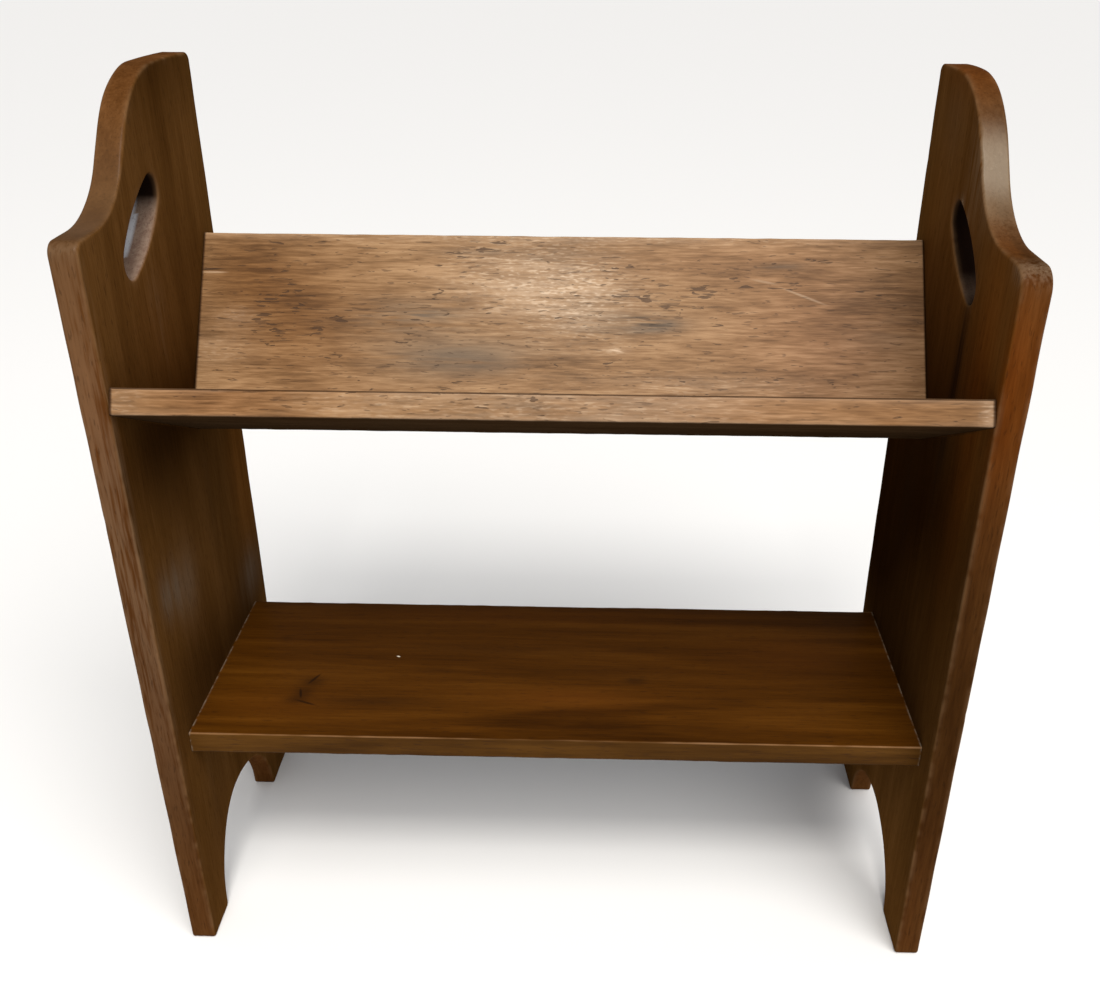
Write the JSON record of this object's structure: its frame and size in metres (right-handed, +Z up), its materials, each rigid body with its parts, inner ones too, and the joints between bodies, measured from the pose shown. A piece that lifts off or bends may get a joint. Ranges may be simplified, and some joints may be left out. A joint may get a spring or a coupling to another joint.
{
  "type": "book trough",
  "caption": "Free-standing wooden book trough: ogee-topped end boards with slanted hand holes and arched feet, a V-shaped trough above and a flat shelf below.",
  "frame": {"origin": "on the floor, in the middle of the bounding box", "axes": "+X along the boards to the right as seen from the front, +Y to the back, +Z up; the front, where the trough's front board has its edge, faces -Y"},
  "size_m": [0.61, 0.2495, 0.677],
  "materials": {
    "end_board_wood": "dark brown stain under worn polish",
    "trough_wood": "dry, lighter brown with dark flecks",
    "shelf_wood": "red-brown, polished",
    "plug_wood": "stained with the end boards",
    "screw_steel": "dull old steel"
  },
  "bodies": {
    "root": {"left_side": "end_board_wood", "right_side": "end_board_wood", "lower_shelf": "shelf_wood", "trough_front_board": "trough_wood", "trough_back_board": "trough_wood", "shelf_screws_left": "screw_steel", "shelf_screws_right": "screw_steel", "trough_front_screws_left": "screw_steel", "trough_front_screws_right": "screw_steel", "trough_back_screws_left": "screw_steel", "trough_back_screws_right": "screw_steel", "trough_seam_screws": "screw_steel", "shelf_plugs_left": "plug_wood", "shelf_plugs_right": "plug_wood", "trough_front_plugs_left": "plug_wood", "trough_front_plugs_right": "plug_wood", "trough_back_plugs_left": "plug_wood", "trough_back_plugs_right": "plug_wood"}
  },
  "joints": []
}
